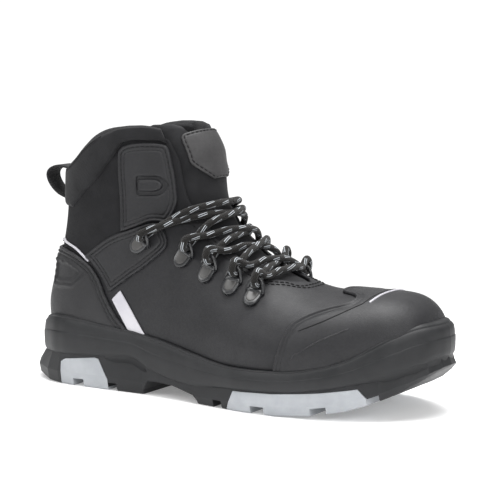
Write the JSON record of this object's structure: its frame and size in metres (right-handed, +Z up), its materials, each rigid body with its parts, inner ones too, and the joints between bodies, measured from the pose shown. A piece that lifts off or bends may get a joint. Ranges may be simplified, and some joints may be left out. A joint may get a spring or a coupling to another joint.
{
  "type": "safety boot",
  "caption": "Mid-height lace-up safety boot with a padded cuff, tongue, moulded toe cap and heel counter, D-ring lacing, pull loop and a two-colour lugged sole.",
  "frame": {"origin": "on the floor, on the walking face of the heel tread", "axes": "+X from heel to toe, +Y towards the inner ankle, +Z up"},
  "size_m": [0.3125, 0.1124, 0.1823],
  "materials": {
    "leather": "oiled full-grain",
    "moulded": "smooth coated",
    "softshell": "brushed stretch fabric",
    "black_rubber": "matt",
    "grey_rubber": "matt",
    "insole": "felted",
    "patch": "smooth",
    "reflective": "reflective film",
    "webbing": "woven",
    "composite": "satin",
    "lace": "braided"
  },
  "bodies": {
    "root": {"upper": "leather", "midsole": "black_rubber", "outsole": "black_rubber", "heel_insert": "grey_rubber", "forefoot_insert": "grey_rubber", "insole": "insole", "tongue": "softshell", "tongue_patch": "patch", "toe_cap": "leather", "heel_counter": "moulded", "ankle_band_outer": "leather", "ankle_patch_outer": "leather", "stripe_outer": "reflective", "ankle_band_inner": "leather", "ankle_patch_inner": "leather", "stripe_inner": "reflective", "collar_cuff": "softshell", "pull_loop": "webbing", "d_ring_outer_1": "composite", "d_ring_outer_2": "composite", "d_ring_outer_3": "composite", "d_ring_outer_4": "composite", "lace_hook_outer": "composite", "d_ring_inner_1": "composite", "d_ring_inner_2": "composite", "d_ring_inner_3": "composite", "d_ring_inner_4": "composite", "lace_hook_inner": "composite", "lace": "lace"}
  },
  "joints": []
}
